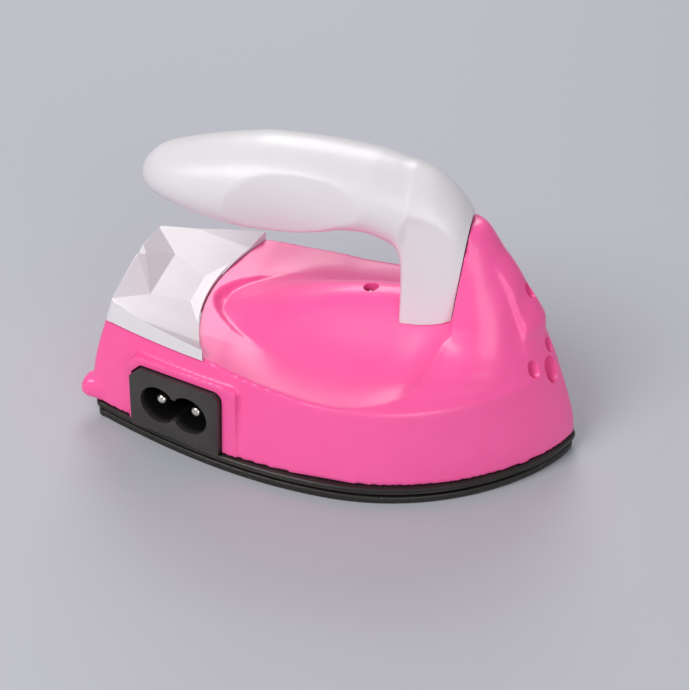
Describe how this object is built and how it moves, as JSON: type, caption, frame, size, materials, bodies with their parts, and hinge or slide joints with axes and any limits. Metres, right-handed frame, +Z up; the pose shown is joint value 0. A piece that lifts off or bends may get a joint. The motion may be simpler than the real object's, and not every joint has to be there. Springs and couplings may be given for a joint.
{
  "type": "handheld heat press",
  "caption": "Small iron-shaped handheld heat press with a coated soleplate, domed shell, faceted rear cap, fixed rearward handle and a two-pin power inlet.",
  "frame": {"origin": "centre of the whole press's box on the plane that the soleplate rests on", "axes": "+X towards the nose, +Z up, the power inlet faces -Y"},
  "size_m": [0.1079, 0.063, 0.066],
  "materials": {
    "pink_shell": "satin moulded, bright pink",
    "white_shell": "satin moulded, white",
    "black_frame": "heat-resistant black moulding",
    "black_coating": "black non-stick coating with fine pale specks",
    "inlet_black": "black moulded socket",
    "plated_pin": "nickel-plated contact pins",
    "zinc_steel": "zinc-plated steel",
    "heater_ceramic": "sintered ceramic heating plate",
    "mica": "pressed mica sheet",
    "glass_fibre": "braided glass-fibre sleeve",
    "fuse_case": "brass fuse case and tinned wires",
    "lamp_red": "clear red lamp body",
    "holder_white": "natural nylon",
    "resistor_body": "lacquered resistor body",
    "lead_brown": "silicone-insulated wire, brown",
    "lead_blue": "silicone-insulated wire, blue",
    "lead_white": "silicone-insulated wire, white"
  },
  "bodies": {
    "root": {"base_frame": "black_frame", "clamp_screw_1": "zinc_steel", "clamp_screw_2": "zinc_steel", "fuse_clip": "zinc_steel", "fuse_clip_screw": "zinc_steel", "fuse_sleeve": "glass_fibre", "handle": "white_shell", "handle_screw_1": "zinc_steel", "handle_screw_2": "zinc_steel", "heater_clamp": "zinc_steel", "heater_lead_live": "lead_white", "heater_lead_neutral": "lead_white", "heating_plate": "heater_ceramic", "indicator_lamp": "lamp_red", "inlet_housing": "inlet_black", "inlet_pin_live": "plated_pin", "inlet_pin_neutral": "plated_pin", "lamp_holder": "holder_white", "lamp_lead_live": "lead_white", "lamp_lead_neutral": "lead_white", "lamp_resistor": "resistor_body", "live_lead": "lead_brown", "mica_sheet": "mica", "neutral_lead": "lead_blue", "rear_cap": "white_shell", "resistor_lead": "lead_white", "shell_screw_1": "zinc_steel", "shell_screw_2": "zinc_steel", "soleplate": "black_coating", "soleplate_screw_1": "zinc_steel", "soleplate_screw_2": "zinc_steel", "soleplate_screw_3": "zinc_steel", "thermal_fuse": "fuse_case", "thermostat": "zinc_steel", "thermostat_clip": "zinc_steel", "thermostat_clip_screw": "zinc_steel", "upper_shell": "pink_shell"}
  },
  "joints": []
}
